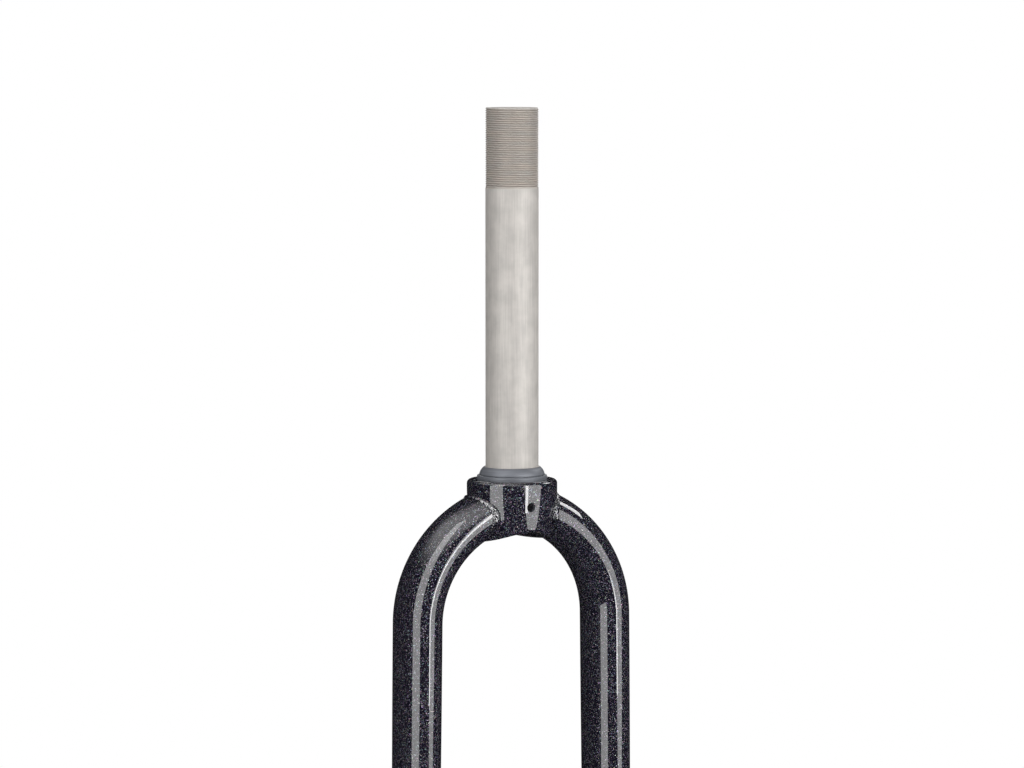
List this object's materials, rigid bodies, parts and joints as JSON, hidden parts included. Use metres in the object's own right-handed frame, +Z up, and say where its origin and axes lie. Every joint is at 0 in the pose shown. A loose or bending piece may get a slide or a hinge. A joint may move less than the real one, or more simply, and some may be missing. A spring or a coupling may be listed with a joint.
{
  "type": "rigid bicycle fork",
  "caption": "Rigid welded bicycle fork: bare threaded steerer with a bearing race, painted crown sleeve arched over the tyre, bent oval legs and slotted dropouts.",
  "frame": {"origin": "on the steerer's axis, in the plane of the crown's top face, where the bearing race is seated", "axes": "+Z up the steerer's axis, -Y towards the front of the bicycle, +X to the right of someone who looks at the fork from the front; left and right in the names are meant in that view"},
  "size_m": [0.125, 0.0802, 0.5793],
  "materials": {
    "steel": "bare, brushed along the tube",
    "race": "satin blue-grey",
    "paint": "near-black metal-flake paint under a gloss clear coat"
  },
  "bodies": {
    "root": {"steerer_tube": "steel", "crown_race": "race", "crown_sleeve": "paint", "left_leg": "paint", "right_leg": "paint", "left_weld": "paint", "right_weld": "paint", "left_dropout": "paint", "right_dropout": "paint"}
  },
  "joints": []
}
